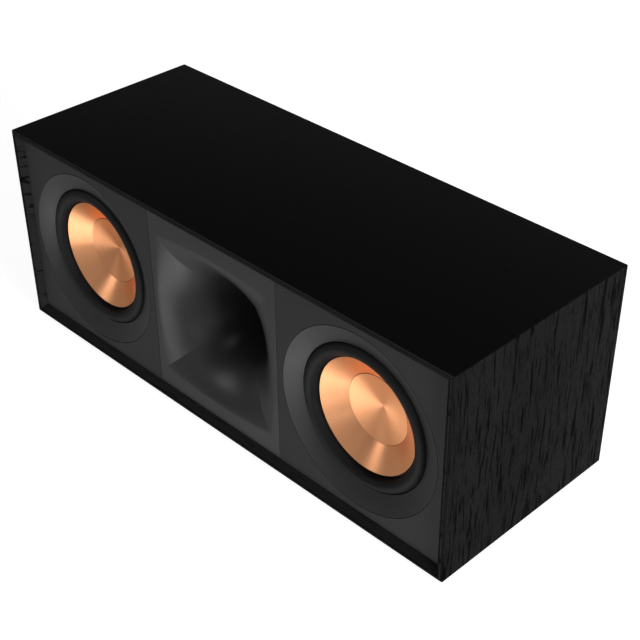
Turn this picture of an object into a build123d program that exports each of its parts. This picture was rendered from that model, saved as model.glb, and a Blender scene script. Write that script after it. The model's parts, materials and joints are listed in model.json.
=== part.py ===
from build123d import *
import os
from math import asin, cos, log, radians, sin, sqrt

# Center channel loudspeaker: a low wide cabinet with a moulded horn between two metal-cone woofers.
# Millimetres. +X right, +Y to the back, +Z up. The origin is under the middle of the cabinet, at its feet.
# A depth is the distance behind the face of the front baffle, along +Y.

# Cabinet sizes
cabinet_width = 470.0
cabinet_height = 175.0
cabinet_depth = 181.0
wall = 15.0
panel_gap = 0.15
edge_chamfer = 1.2
lip_flat = 2.4
bevel_run = 5.0
baffle_recess = 5.4
baffle_thickness = 22.0
rear_lip = 6.0
rear_thickness = 15.0
brace_thickness = 12.0
brace_center = 76.0
brace_border = 26.0
brace_window_radius = 12.0
pad_thickness = 15.0
pad_margin = 2.0
pad_length = 110.0
foot_height = 2.5
foot_radius = 9.0
foot_inset = 32.0
foot_edge = 0.6

# Horn sizes
horn_panel_width = 139.2
horn_flange = 4.0
horn_land = 4.0
horn_throat = 12.7
horn_round_half = 34.3
horn_wall = 3.0
horn_stretch_ratio = 1.1
horn_ledge = 5.6
horn_base_radius = 38.0
horn_base = 6.0
mouth_roundness_share = 0.215
section_count = 8
section_power = 1.3

# Tweeter sizes
carrier_thickness = 2.5
carrier_inner = 16.0
dome_rim = 12.5
dome_height = 4.2
foil = 0.35
suspension_rise = 0.8
tweeter_coil_inner = 12.2
tweeter_coil_outer = 12.85
tweeter_coil_length = 5.0
tweeter_pole = 11.7
tweeter_plate_hole = 13.35
tweeter_plate = 3.0
tweeter_magnet_radius = 30.0
tweeter_magnet_hole = 18.0
tweeter_magnet = 10.0
tweeter_back = 4.0
tweeter_screw_circle = 34.0
tweeter_screw_radius = 1.5
tweeter_screw_hole = 4.5
tweeter_screw_length = 7.5

# Woofer sizes
woofer_margin = 4.7
ring_margin = 5.7
ring_width = 14.9
ring_slope = 6.1
ring_skirt = 2.0
ring_edge = 1.3
seat_gap = 0.2
seat_depth = 10.5
basket_flange = 1.6
basket_flange_inset = 3.2
basket_mouth_gap = 0.9
basket_taper = 9.2
basket_sheet = 1.2
shelf_width = 9.0
basket_hole = 20.0
motor_step = 5.4
baffle_hole_gap = 0.6
window_count = 6
window_angle = 40.0
window_front = 7.0
window_back = 4.0
surround_overlap = 4.5
surround_flange = 1.0
roll_gap = 0.1
roll_width = 10.6
roll_height = 4.7
roll_sheet = 0.9
cone_edge_gap = 2.0
cone_lip = 2.2
cone_front = 9.4
cone_sheet = 0.55
cone_depth = 23.1
cap_radius = 27.8
cap_depth = 6.2
cap_sheet = 0.4
glue_gap = 0.05
collar_length = 2.4
former_inner = 12.6
former_outer = 12.95
former_length = 25.0
coil_outer = 13.65
coil_length = 12.0
coil_overhang = 3.0
spider_overlap = 5.0
spider_rise = 5.05
spider_sheet = 0.6
spider_wave = 0.9
spider_waves = 5
plate_hole = 14.1
plate_inset = 4.0
plate_thickness = 6.0
magnet_overhang = 1.0
magnet_hole = 19.0
magnet_thickness = 15.0
yoke_thickness = 6.0
pole_radius = 12.2
pole_vent = 4.0
screw_inset = 6.9
screw_head_radius = 3.2
screw_head = 2.0
screw_radius = 2.0
screw_grip = 10.0
screw_count = 4
screw_angle = 45.0
hole_gap = 0.1
tag_width = 16.0
tag_height = 6.0
tag_thickness = 1.6
tab_width = 4.8
tab_length = 9.0
tab_sheet = 0.8
tab_spacing = 9.0

# Rear port sizes
port_inset = 85.0
port_bore = 24.0
port_wall = 2.5
port_flare = 12.0
port_rim = 38.0
port_length = 75.0
port_neck = 8.0

# Terminal cup and binding post sizes
flush_flange = 3.0
cup_width = 100.0
cup_height = 70.0
cup_corner = 6.0
cup_bowl_width = 80.0
cup_bowl_height = 52.0
cup_bowl_corner = 8.0
cup_depth = 28.0
cup_wall = 2.5
cup_screw_inset = 7.0
cup_screw_head = 3.2
cup_screw_radius = 1.6
cup_screw_length = 11.0
cup_screw_taper = 2.0
post_spacing = 19.0
stud_radius = 3.0
stud_reach = 20.0
stud_tail = 10.0
stud_base_radius = 6.2
stud_base = 3.0
banana_bore = 2.0
banana_depth = 15.0
nut_flats = 10.0
nut_thickness = 5.0
thread_gap = 0.08
insert_radius = 4.6
insert_length = 12.0
knob_radius = 6.6
knob_length = 15.5
knob_end_hole = 3.3
knob_flutes = 12
flute_radius = 0.7
knob_gap = 0.2

# Crossover sizes
board_length = 100.0
board_width = 66.0
board_thickness = 1.6
board_rear_gap = 12.0
board_inset = 6.0
standoff_height = 8.0
standoff_radius = 3.5
standoff_pin = 1.4
standoff_cap = 1.0
standoff_cap_radius = 2.6
woofer_coil_radius = 20.0
woofer_coil_core = 8.0
woofer_coil_height = 18.0
tweeter_choke_radius = 11.0
tweeter_choke_core = 5.0
tweeter_choke_height = 12.0
capacitor_radius = 7.0
capacitor_length = 32.0
capacitor_edge = 1.0
resistor_length = 36.0
resistor_side = 9.0

# Places that follow from the sizes
front_y = -cabinet_depth / 2
rear_y = cabinet_depth / 2
center_z = foot_height + cabinet_height / 2
lip = edge_chamfer + lip_flat + bevel_run
baffle_y = front_y + baffle_recess
baffle_back_y = baffle_y + baffle_thickness
baffle_width = cabinet_width - 2 * lip
baffle_height = cabinet_height - 2 * lip
rear_inside_y = rear_y - rear_thickness
inside_height = cabinet_height - 2 * wall
floor_z = foot_height + wall
ceiling_z = floor_z + inside_height
port_center = port_inset - cabinet_width / 2
horn_mouth = horn_panel_width / 2 - horn_land
horn_cutout = 2 * (horn_mouth - horn_ledge)
ring_room_height = baffle_height / 2 - ring_margin
ring_room_width = (baffle_width / 2 - woofer_margin - ring_margin - horn_panel_width / 2) / 2
ring_outer = min(ring_room_height, ring_room_width)
woofer_center = baffle_width / 2 - woofer_margin - ring_outer
ring_inner = ring_outer - ring_width

parts = {}


def block(size_x, size_y, size_z, x, y, z):
    """A box whose middle is at x, y, z."""
    return Pos(x, y, z) * Box(size_x, size_y, size_z)


def slab(width, height, corner, y_from, y_to, x=0.0, z=center_z):
    """An upright plate with round corners, from y_from back to y_to."""
    outline = Plane.XZ.offset(-y_from) * Pos(x, z) * RectangleRounded(width, height, corner)
    return extrude(outline, -(y_to - y_from))


def turned(*edges, x=0.0, z=center_z):
    """A solid of revolution about the line through x, z along Y, from edges given as (radius, y) points."""
    return Pos(x, 0, z) * revolve(make_face(edges), Axis.Y)


def path(*points):
    """Straight edges through (radius, y) points."""
    return Polyline(*points)


def ring(inner, outer, y_from, y_to, x=0.0, z=center_z):
    """A plain round ring or, with no inner radius, a disc."""
    body = Cylinder(outer, y_to - y_from, rotation=(-90, 0, 0))
    if inner:
        body -= Cylinder(inner, y_to - y_from, rotation=(-90, 0, 0))
    return Pos(x, (y_from + y_to) / 2, z) * body


def upright(inner, outer, z_from, z_to, x, y):
    """A plain round ring or disc on a vertical axis."""
    body = Cylinder(outer, z_to - z_from)
    if inner:
        body -= Cylinder(inner, z_to - z_from)
    return Pos(x, y, (z_from + z_to) / 2) * body


def circle_places(radius, count, turn):
    """Points (x, z) spaced evenly on a circle."""
    angles = [radians(turn + 360 / count * i) for i in range(count)]
    return [(radius * cos(a), radius * sin(a)) for a in angles]


# Cabinet sleeve, made whole and then cut along its four mitres
def rectangle_at(width, height, y):
    return Plane.XZ.offset(-y) * Pos(0, center_z) * Rectangle(width, height)


outer_box = block(cabinet_width, cabinet_depth, cabinet_height, 0, 0, center_z)
outer_box = chamfer(outer_box.faces().sort_by(Axis.Y)[0].edges(), edge_chamfer)
tunnel = block(cabinet_width - 2 * wall, cabinet_depth, inside_height, 0, 0, center_z)
front_rebate = block(
    baffle_width, baffle_recess + baffle_thickness, baffle_height,
    0, (front_y + baffle_back_y) / 2, center_z,
)
bevel = loft([
    rectangle_at(baffle_width + 2 * bevel_run, baffle_height + 2 * bevel_run, front_y),
    rectangle_at(baffle_width, baffle_height, baffle_y),
], ruled=True)
rear_opening_width = cabinet_width - 2 * rear_lip
rear_opening_height = cabinet_height - 2 * rear_lip
rear_rebate = block(
    rear_opening_width, rear_thickness, rear_opening_height,
    0, rear_y - rear_thickness / 2, center_z,
)
sleeve = outer_box - tunnel - front_rebate - bevel - rear_rebate

half_width = cabinet_width / 2
half_height = cabinet_height / 2


def mitred(*corners):
    """The piece of the sleeve inside a wedge given by (x, z) corners from the cabinet's centre."""
    wedge = Plane.XZ.offset(-front_y) * Pos(0, center_z) * make_face(Polyline(*corners, close=True))
    return sleeve & extrude(wedge, -cabinet_depth)


middle = half_width - half_height
parts["top_panel"] = mitred(
    (-half_width, half_height), (half_width, half_height), (middle, 0), (-middle, 0))
parts["bottom_panel"] = mitred(
    (-half_width, -half_height), (half_width, -half_height), (middle, 0), (-middle, 0))
parts["left_panel"] = mitred((-half_width, -half_height), (-half_width, half_height), (-middle, 0))
parts["right_panel"] = mitred((half_width, -half_height), (half_width, half_height), (middle, 0))

# Front baffle, with two stepped woofer holes and a housing for the horn panel
baffle = block(
    baffle_width - 2 * panel_gap, baffle_thickness, baffle_height - 2 * panel_gap,
    0, (baffle_y + baffle_back_y) / 2, center_z,
)
baffle -= block(
    horn_panel_width + 2 * panel_gap, horn_flange, cabinet_height,
    0, baffle_y + horn_flange / 2, center_z,
)
baffle -= block(horn_cutout, baffle_thickness, horn_cutout, 0, (baffle_y + baffle_back_y) / 2, center_z)
screw_places = circle_places(ring_outer - screw_inset, screw_count, screw_angle)
screw_hole = screw_radius + hole_gap
seat_y = baffle_y + seat_depth
basket_mouth = ring_inner + basket_mouth_gap
basket_bore = basket_mouth + basket_sheet + baffle_hole_gap
for side in (-1, 1):
    x = side * woofer_center
    baffle -= ring(0, ring_outer + seat_gap, baffle_y, seat_y, x)
    baffle -= ring(0, basket_bore, seat_y, baffle_back_y, x)
    for dx, dz in screw_places:
        baffle -= ring(0, screw_hole, seat_y, seat_y + screw_grip + hole_gap, x + dx, center_z + dz)
parts["front_baffle"] = baffle


# Horn: nearly square at the mouth, with creased corners that open until it is round, on a tractrix flare
def flare_depth(half):
    root = sqrt(horn_mouth ** 2 - half ** 2)
    return horn_stretch_ratio * (horn_mouth * log((horn_mouth + root) / half) - root)


def horn_section(half, offset, depth):
    """The horn's outline where its half width is half, grown outwards by offset: four arcs."""
    inward = (horn_mouth - half) / (horn_mouth - horn_round_half)
    roundness = mouth_roundness_share + (1 - mouth_roundness_share) * inward
    side = half + offset
    corner = side * (1 - roundness * (1 - sqrt(0.5)))
    outline = make_face([
        ThreePointArc((corner, -corner), (side, 0), (corner, corner)),
        ThreePointArc((corner, corner), (0, side), (-corner, corner)),
        ThreePointArc((-corner, corner), (-side, 0), (-corner, -corner)),
        ThreePointArc((-corner, -corner), (0, -side), (corner, -corner)),
    ])
    return Plane.XZ.offset(-(baffle_y + depth)) * Pos(0, center_z) * outline


def throat_part(offset):
    """The round inner part of the horn, grown outwards by offset."""
    flare = Spline(*[(half + offset, baffle_y + flare_depth(half)) for half in throat_halves])
    start, end = flare @ 0, flare @ 1
    return turned(flare, path(end, (0, end.Y), (0, start.Y), start))


square_halves = [
    horn_mouth - (horn_mouth - horn_round_half) * (i / section_count) ** section_power
    for i in range(section_count + 1)
]
throat_halves = [
    horn_round_half - (horn_round_half - horn_throat) * i / section_count for i in range(section_count + 1)
]
cavity = loft([horn_section(half, 0, flare_depth(half)) for half in square_halves]) + throat_part(0)
shell = loft([horn_section(half, horn_wall, flare_depth(half)) for half in square_halves[1:]])
shell += throat_part(horn_wall)
horn_back_y = baffle_y + flare_depth(horn_throat)
flange_plate = block(
    horn_panel_width, horn_flange, baffle_height - 2 * panel_gap, 0, baffle_y + horn_flange / 2, center_z)
horn = flange_plate + shell + ring(0, horn_base_radius, horn_back_y - horn_base, horn_back_y)
horn -= cavity
tweeter_places = circle_places(tweeter_screw_circle, screw_count, screw_angle)
for dx, dz in tweeter_places:
    horn -= ring(
        0, tweeter_screw_radius + hole_gap, horn_back_y - tweeter_screw_hole, horn_back_y, dx, center_z + dz)
parts["horn_panel"] = horn

# Tweeter, stacked behind the horn's throat
plate_front_y = horn_back_y + carrier_thickness
plate_back_y = plate_front_y + tweeter_plate
magnet_back_y = plate_back_y + tweeter_magnet
yoke_back_y = magnet_back_y + tweeter_back
parts["tweeter_carrier"] = ring(carrier_inner, tweeter_magnet_radius, horn_back_y, plate_front_y)
rim_y = horn_back_y + carrier_thickness / 2
dome_sphere = (dome_rim ** 2 + dome_height ** 2) / (2 * dome_height)
dome_center_y = rim_y - dome_height + dome_sphere


def dome_point(sphere, angle):
    """A point (radius, y) on the dome's front or back sphere, at an angle from the axis."""
    return (sphere * sin(angle), dome_center_y - sphere * cos(angle))


def dome_arc(sphere, rim):
    angle = asin(rim / sphere)
    return ThreePointArc(dome_point(sphere, 0), dome_point(sphere, angle / 2), dome_point(sphere, angle))


dome_front = dome_arc(dome_sphere, dome_rim)
dome_back = dome_arc(dome_sphere - foil, dome_rim - foil)
parts["tweeter_dome"] = turned(
    dome_front,
    path(dome_front @ 1, (dome_rim, rim_y + foil), (dome_rim - foil, rim_y + foil), dome_back @ 1),
    dome_back,
    path(dome_back @ 0, dome_front @ 0),
)
suspension_mid = (dome_rim + carrier_inner) / 2
parts["tweeter_suspension"] = turned(
    ThreePointArc(
        (dome_rim + glue_gap, rim_y),
        (suspension_mid, rim_y - suspension_rise),
        (carrier_inner - glue_gap, rim_y),
    ),
    path((carrier_inner - glue_gap, rim_y), (carrier_inner - glue_gap, rim_y + foil)),
    ThreePointArc(
        (carrier_inner - glue_gap, rim_y + foil),
        (suspension_mid, rim_y - suspension_rise + foil),
        (dome_rim + glue_gap, rim_y + foil),
    ),
    path((dome_rim + glue_gap, rim_y + foil), (dome_rim + glue_gap, rim_y)),
)
coil_front_y = rim_y + foil
parts["tweeter_voice_coil"] = ring(
    tweeter_coil_inner, tweeter_coil_outer, coil_front_y, coil_front_y + tweeter_coil_length)
tweeter_plate_disc = ring(tweeter_plate_hole, horn_base_radius, plate_front_y, plate_back_y)
for dx, dz in tweeter_places:
    tweeter_plate_disc -= ring(
        0, tweeter_screw_radius + hole_gap, plate_front_y, plate_back_y, dx, center_z + dz)
parts["tweeter_top_plate"] = tweeter_plate_disc
parts["tweeter_magnet"] = ring(tweeter_magnet_hole, tweeter_magnet_radius, plate_back_y, magnet_back_y)
parts["tweeter_yoke"] = ring(0, tweeter_magnet_radius, magnet_back_y, yoke_back_y) + ring(
    0, tweeter_pole, plate_front_y, magnet_back_y)


def pan_screw(head_y, head_side, radius, head_radius, head, length, x, z):
    """A screw along Y whose head bears at head_y and stands out on head_side, its shank the other way."""
    head_body = ring(0, head_radius, *sorted((head_y, head_y + head_side * head)), x, z)
    return head_body + ring(0, radius, *sorted((head_y, head_y - head_side * length)), x, z)


parts["tweeter_screws"] = Compound(children=[
    pan_screw(plate_back_y, 1, tweeter_screw_radius, 2 * tweeter_screw_radius, tweeter_screw_radius,
              tweeter_screw_length, dx, center_z + dz)
    for dx, dz in tweeter_places
])


# Woofers
flange_front_y = seat_y - basket_flange
basket_flange_radius = ring_outer - basket_flange_inset
basket_shelf_outer = basket_mouth - basket_taper
basket_shelf_inner = basket_shelf_outer - shelf_width
roll_y = flange_front_y - surround_flange
roll_outer = ring_inner - roll_gap
roll_inner = roll_outer - roll_width
cone_y = baffle_y + cone_front
cone_radius = roll_inner - cone_edge_gap
cone_flat = cone_radius - cone_lip


neck = former_outer + glue_gap
cone_slope = cone_depth / (cone_flat - neck)


def cone_face(radius):
    """Where the front of the cone lies at a radius."""
    return cone_y + (cone_flat - radius) * cone_slope


neck_y = cone_face(neck)
collar_y = neck_y + collar_length
spider_y = collar_y + glue_gap
shelf_y = spider_y + spider_rise + spider_sheet
motor_y = shelf_y + motor_step


def trim_ring(x):
    back_y = baffle_y + ring_slope + ring_edge
    skirt = ring_outer - ring_skirt
    return turned(path(
        (ring_outer, baffle_y), (ring_inner, baffle_y + ring_slope), (ring_inner, back_y),
        (ring_inner + ring_edge, back_y), (skirt, baffle_y + 2 * ring_edge), (skirt, seat_y),
        (ring_outer, seat_y), (ring_outer, baffle_y),
    ), x=x)


def basket(x):
    """A pressed frame: flange, sloping wall with windows, spider shelf and motor seat."""
    base_y = motor_y - basket_sheet
    step = 2 * basket_sheet
    frame = turned(path(
        (basket_flange_radius, flange_front_y), (basket_mouth, flange_front_y),
        (basket_shelf_outer, shelf_y), (basket_shelf_inner, shelf_y),
        (basket_shelf_inner - step, base_y), (basket_hole, base_y), (basket_hole, motor_y),
        (basket_shelf_inner - step / 2, motor_y), (basket_shelf_inner + basket_sheet, shelf_y + basket_sheet),
        (basket_shelf_outer + basket_sheet, shelf_y + basket_sheet), (basket_mouth + basket_sheet, seat_y),
        (basket_flange_radius, seat_y), (basket_flange_radius, flange_front_y),
    ), x=x)
    opening_from = seat_y + window_front
    opening_to = shelf_y - window_back
    sector = ring(basket_shelf_inner, basket_flange_radius, opening_from, opening_to, x)
    reach = 2 * basket_flange_radius
    for i in range(window_count):
        angles = [radians(360 / window_count * i + half * window_angle / 2) for half in (-1, 1)]
        points = [(0, 0)] + [(reach * cos(a), reach * sin(a)) for a in angles]
        wedge = Plane.XZ.offset(-opening_from) * Pos(x, center_z) * make_face(Polyline(*points, close=True))
        frame -= sector & extrude(wedge, -(opening_to - opening_from))
    for dx, dz in screw_places:
        frame -= ring(0, screw_radius + 2 * hole_gap, flange_front_y, seat_y, x + dx, center_z + dz)
    return frame


def surround(x):
    """A rubber half roll between a glued outer flange and the flange under the cone's rim."""
    inner_y = cone_y + cone_sheet + glue_gap
    inner_edge = cone_flat + cone_sheet
    surround_outer = ring_inner + surround_overlap
    middle_radius = (roll_outer + roll_inner) / 2
    return turned(
        path((surround_outer, roll_y), (roll_outer, roll_y)),
        ThreePointArc((roll_outer, roll_y), (middle_radius, roll_y - roll_height), (roll_inner, inner_y)),
        path((roll_inner, inner_y), (inner_edge, inner_y), (inner_edge, inner_y + roll_sheet),
             (roll_inner + roll_sheet, inner_y + roll_sheet)),
        ThreePointArc(
            (roll_inner + roll_sheet, inner_y + roll_sheet),
            (middle_radius, roll_y - roll_height + roll_sheet),
            (roll_outer - roll_sheet, flange_front_y),
        ),
        path((roll_outer - roll_sheet, flange_front_y), (surround_outer, flange_front_y),
             (surround_outer, roll_y)),
        x=x,
    )


def cone(x):
    """A thin metal cone with a flat rim and a short collar, of one thickness throughout."""
    back_y = cone_y + cone_sheet
    collar = neck + cone_sheet
    slant = cone_sheet * sqrt(1 + cone_slope ** 2)
    bend = cone_flat + (slant - cone_sheet) / cone_slope
    return turned(path(
        (cone_radius, cone_y), (cone_flat, cone_y), (neck, neck_y), (neck, collar_y), (collar, collar_y),
        (collar, cone_face(collar) + slant), (bend, back_y), (cone_radius, back_y), (cone_radius, cone_y),
    ), x=x)


def dust_cap(x):
    rim = cone_face(cap_radius) - glue_gap
    apex = rim + cap_depth
    return turned(path(
        (0, apex - cap_sheet), (cap_radius, rim - cap_sheet), (cap_radius, rim), (0, apex),
        (0, apex - cap_sheet),
    ), x=x)


former_y = neck_y - 2 * glue_gap
plate_y = motor_y
coil_y = plate_y - coil_overhang


def spider(x):
    """A cupped cloth disc with round waves, higher at the coil than at its rim."""
    rim_y = shelf_y - spider_sheet
    flat_in = former_outer + 4 * spider_sheet
    flat_out = basket_shelf_inner
    crests = 2 * spider_waves
    front = [(neck, spider_y), (flat_in, spider_y)]
    for i in range(1, crests):
        share = i / crests
        wave = spider_wave if i % 2 else -spider_wave
        front.append((flat_in + (flat_out - flat_in) * share, spider_y + spider_rise * share - wave))
    front += [(flat_out, rim_y), (basket_shelf_inner + spider_overlap, rim_y)]
    back = [(r, y + spider_sheet) for r, y in reversed(front)]
    return turned(path(*front, *back, front[0]), x=x)


def terminal_strip(x):
    """A tag board under the basket's shelf, with two spade tabs."""
    strip_y = shelf_y + basket_sheet
    strip_z = center_z - (basket_shelf_inner + basket_shelf_outer) / 2 - basket_sheet
    strip = block(tag_width, tag_thickness, tag_height, x, strip_y + tag_thickness / 2, strip_z)
    for side in (-1, 1):
        strip += block(tab_width, tab_length, tab_sheet, x + side * tab_spacing / 2,
                       strip_y + tag_thickness + tab_length / 2, strip_z)
    return strip


plate_back = plate_y + plate_thickness
magnet_back = plate_back + magnet_thickness
magnet_radius = basket_shelf_inner + magnet_overhang
plate_radius = magnet_radius - plate_inset
for name, side in (("left", -1), ("right", 1)):
    x = side * woofer_center
    parts[f"woofer_trim_ring_{name}"] = trim_ring(x)
    parts[f"woofer_basket_{name}"] = basket(x)
    parts[f"woofer_surround_{name}"] = surround(x)
    parts[f"woofer_cone_{name}"] = cone(x)
    parts[f"woofer_dust_cap_{name}"] = dust_cap(x)
    parts[f"woofer_spider_{name}"] = spider(x)
    parts[f"voice_coil_former_{name}"] = ring(
        former_inner, former_outer, former_y, former_y + former_length, x)
    parts[f"voice_coil_winding_{name}"] = ring(former_outer, coil_outer, coil_y, coil_y + coil_length, x)
    parts[f"woofer_top_plate_{name}"] = ring(plate_hole, plate_radius, plate_y, plate_back, x)
    parts[f"woofer_magnet_{name}"] = ring(magnet_hole, magnet_radius, plate_back, magnet_back, x)
    yoke = ring(0, plate_radius, magnet_back, magnet_back + yoke_thickness, x)
    yoke += ring(0, pole_radius, plate_y, magnet_back, x)
    yoke -= ring(0, pole_vent, plate_y, magnet_back + yoke_thickness, x)
    parts[f"woofer_yoke_{name}"] = yoke
    parts[f"woofer_terminal_strip_{name}"] = terminal_strip(x)
parts["woofer_screws"] = Compound(children=[
    pan_screw(flange_front_y, -1, screw_radius, screw_head_radius, screw_head, basket_flange + screw_grip,
              side * woofer_center + dx, center_z + dz)
    for side in (-1, 1)
    for dx, dz in screw_places
])

# Rear panel, with housings for the port and the terminal cup
floor_y = rear_y - cup_depth + cup_wall
cup_screw_places = [
    (sx * (cup_width / 2 - cup_screw_inset), sz * (cup_height / 2 - cup_screw_inset))
    for sx in (-1, 1) for sz in (-1, 1)
]
rear = block(
    rear_opening_width - 2 * panel_gap, rear_thickness, rear_opening_height - 2 * panel_gap,
    0, rear_y - rear_thickness / 2, center_z,
)
rear -= slab(cup_width + 2 * panel_gap, cup_height + 2 * panel_gap, cup_corner, rear_y - flush_flange, rear_y)
rear -= slab(cup_bowl_width + 2 * panel_gap, cup_bowl_height + 2 * panel_gap, cup_bowl_corner,
             rear_inside_y, rear_y)
rear -= ring(0, port_rim + panel_gap, rear_y - flush_flange, rear_y, port_center)
rear -= ring(0, port_bore + port_neck, rear_inside_y, rear_y, port_center)
cup_screw_hole = cup_screw_radius + hole_gap
cup_screw_end_y = rear_y - cup_screw_length
for dx, dz in cup_screw_places:
    rear -= ring(0, cup_screw_hole, cup_screw_end_y - hole_gap, rear_y, dx, center_z + dz)
parts["rear_panel"] = rear

# Flared port tube
port_outer = port_bore + port_wall
flange_y = rear_y - flush_flange
port_end_y = rear_y - port_length
flare_end_y = rear_y - port_flare
parts["port_tube"] = turned(
    path((port_bore + port_flare, rear_y), (port_rim, rear_y), (port_rim, flange_y),
         (port_bore + port_neck - panel_gap, flange_y), (port_outer + port_wall / 2, flare_end_y + port_wall),
         (port_outer, flare_end_y - port_wall), (port_outer, port_end_y), (port_bore, port_end_y),
         (port_bore, flare_end_y)),
    ThreePointArc(
        (port_bore, flare_end_y),
        (port_bore + port_flare * (1 - cos(radians(45))), rear_y - port_flare * (1 - sin(radians(45)))),
        (port_bore + port_flare, rear_y),
    ),
    x=port_center,
)


# Terminal cup with its screws
def countersunk(x, z, gap=0.0):
    """A countersunk screw, flush with the rear face, or with a gap the hole that takes it."""
    head = cup_screw_head + gap
    shank = cup_screw_radius + gap
    taper_y = rear_y - cup_screw_taper - gap
    return turned(path(
        (0, rear_y), (head, rear_y), (shank, taper_y), (shank, cup_screw_end_y), (0, cup_screw_end_y),
        (0, rear_y),
    ), x=x, z=z)


cup = slab(cup_width, cup_height, cup_corner, rear_y - flush_flange, rear_y)
cup += slab(cup_bowl_width, cup_bowl_height, cup_bowl_corner, rear_y - cup_depth, rear_y)
cup -= slab(cup_bowl_width - 2 * cup_wall, cup_bowl_height - 2 * cup_wall, cup_bowl_corner - cup_wall,
            floor_y, rear_y)
post_places = (("black", -post_spacing / 2), ("red", post_spacing / 2))
for dx, dz in cup_screw_places:
    cup -= countersunk(dx, center_z + dz, hole_gap)
for name, x in post_places:
    cup -= ring(0, stud_radius + hole_gap, rear_y - cup_depth, floor_y, x)
parts["terminal_cup"] = cup
parts["terminal_cup_screws"] = Compound(children=[
    countersunk(dx, center_z + dz) for dx, dz in cup_screw_places
])


# Binding posts: a fixed hollow stud and nut, and a knob with a threaded insert
def stud(x):
    body = ring(0, stud_radius, rear_y - cup_depth - stud_tail, floor_y + stud_reach, x)
    body += ring(0, stud_base_radius, floor_y, floor_y + stud_base, x)
    return body - ring(0, banana_bore, floor_y + stud_reach - banana_depth, floor_y + stud_reach, x)


def nut(x):
    outline = RegularPolygon(nut_flats / 2, 6, major_radius=False) - Circle(stud_radius + thread_gap)
    back_y = rear_y - cup_depth
    return extrude(Plane.XZ.offset(-(back_y - nut_thickness)) * Pos(x, center_z) * outline, -nut_thickness)


def knob(x):
    """A fluted knob that holds its insert and is open at the end for a plug."""
    from_y = floor_y + stud_base + knob_gap
    to_y = from_y + knob_length
    body = ring(knob_end_hole, knob_radius, from_y, to_y, x)
    body = chamfer(body.edges().filter_by(GeomType.CIRCLE).sort_by(SortBy.RADIUS)[-2:], flute_radius)
    body -= ring(0, insert_radius + thread_gap, from_y, from_y + insert_length + thread_gap, x)
    for dx, dz in circle_places(knob_radius, knob_flutes, 0):
        body -= ring(0, flute_radius, from_y + 2 * flute_radius, to_y, x + dx, center_z + dz)
    return body


parts["post_studs"] = Compound(children=[stud(x) for name, x in post_places])
parts["post_nuts"] = Compound(children=[nut(x) for name, x in post_places])
for name, x in post_places:
    insert_y = floor_y + stud_base + knob_gap
    parts[f"post_insert_{name}"] = ring(
        stud_radius + thread_gap, insert_radius, insert_y, insert_y + insert_length, x)
    parts[f"post_knob_{name}"] = knob(x)

# Crossover board on the cabinet floor, behind the tweeter
board_z = floor_z + standoff_height
board_y = rear_inside_y - board_rear_gap - board_width / 2
standoff_places = [
    (sx * (board_length / 2 - board_inset), board_y + sy * (board_width / 2 - board_inset))
    for sx in (-1, 1) for sy in (-1, 1)
]
board = block(board_length, board_width, board_thickness, 0, board_y, board_z + board_thickness / 2)
top_z = board_z + board_thickness
standoffs = []
for x, y in standoff_places:
    board -= upright(0, standoff_pin + hole_gap, board_z, top_z, x, y)
    standoffs.append(
        upright(0, standoff_radius, floor_z, board_z, x, y)
        + upright(0, standoff_pin, board_z, top_z, x, y)
        + upright(0, standoff_cap_radius, top_z, top_z + standoff_cap, x, y)
    )
parts["crossover_board"] = board
parts["crossover_standoffs"] = Compound(children=standoffs)
coil_x = board_length / 4
parts["woofer_inductor"] = upright(
    woofer_coil_core, woofer_coil_radius, top_z, top_z + woofer_coil_height, -coil_x, board_y)
parts["tweeter_inductor"] = upright(
    tweeter_choke_core, tweeter_choke_radius, top_z, top_z + tweeter_choke_height,
    capacitor_length / 2, board_y - board_width / 4)


def capacitor(x, y):
    body = Cylinder(capacitor_radius, capacitor_length, rotation=(0, 90, 0))
    body = chamfer(body.edges().filter_by(GeomType.CIRCLE), capacitor_edge)
    return Pos(x, y, top_z + capacitor_radius + glue_gap) * body


parts["film_capacitors"] = Compound(children=[
    capacitor(capacitor_length / 2, board_y + board_width / 2 - 2 * capacitor_radius - shift)
    for shift in (0, 2 * capacitor_radius + capacitor_edge)
])
parts["cement_resistor"] = block(
    resistor_side, resistor_length, resistor_side,
    board_length / 2 - resistor_side, board_y, top_z + resistor_side / 2)

# Braces, damping pad and feet
for name, side in (("left", -1), ("right", 1)):
    brace_length = rear_inside_y - baffle_back_y
    brace_y = (rear_inside_y + baffle_back_y) / 2
    window_length = brace_length - 2 * brace_border
    window_height = inside_height - 2 * brace_border
    window = Plane.YZ.offset(side * brace_center - brace_thickness / 2) * Pos(brace_y, center_z) * (
        RectangleRounded(window_length, window_height, brace_window_radius))
    board_body = block(brace_thickness, brace_length, inside_height, side * brace_center, brace_y, center_z)
    parts[f"brace_{name}"] = board_body - extrude(window, brace_thickness)
pad_width = 2 * brace_center - brace_thickness - 2 * pad_margin
parts["damping_pad"] = block(
    pad_width, pad_length, pad_thickness,
    0, rear_inside_y - pad_margin - pad_length / 2, ceiling_z - pad_thickness / 2)


def foot(x, y):
    body = Cylinder(foot_radius, foot_height)
    body = chamfer(body.edges().sort_by(Axis.Z)[0], foot_edge)
    return Pos(x, y, foot_height / 2) * body


parts["rubber_feet"] = Compound(children=[
    foot(sx * (half_width - foot_inset), sy * (rear_y - foot_inset)) for sx in (-1, 1) for sy in (-1, 1)
])

os.makedirs("parts", exist_ok=True)
for node, shape in parts.items():
    export_step(shape, f"parts/{node}.step")
print(len(parts), "nodes")
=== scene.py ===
import bmesh
import bpy
import json
import math
from mathutils import Matrix, Vector


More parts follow.
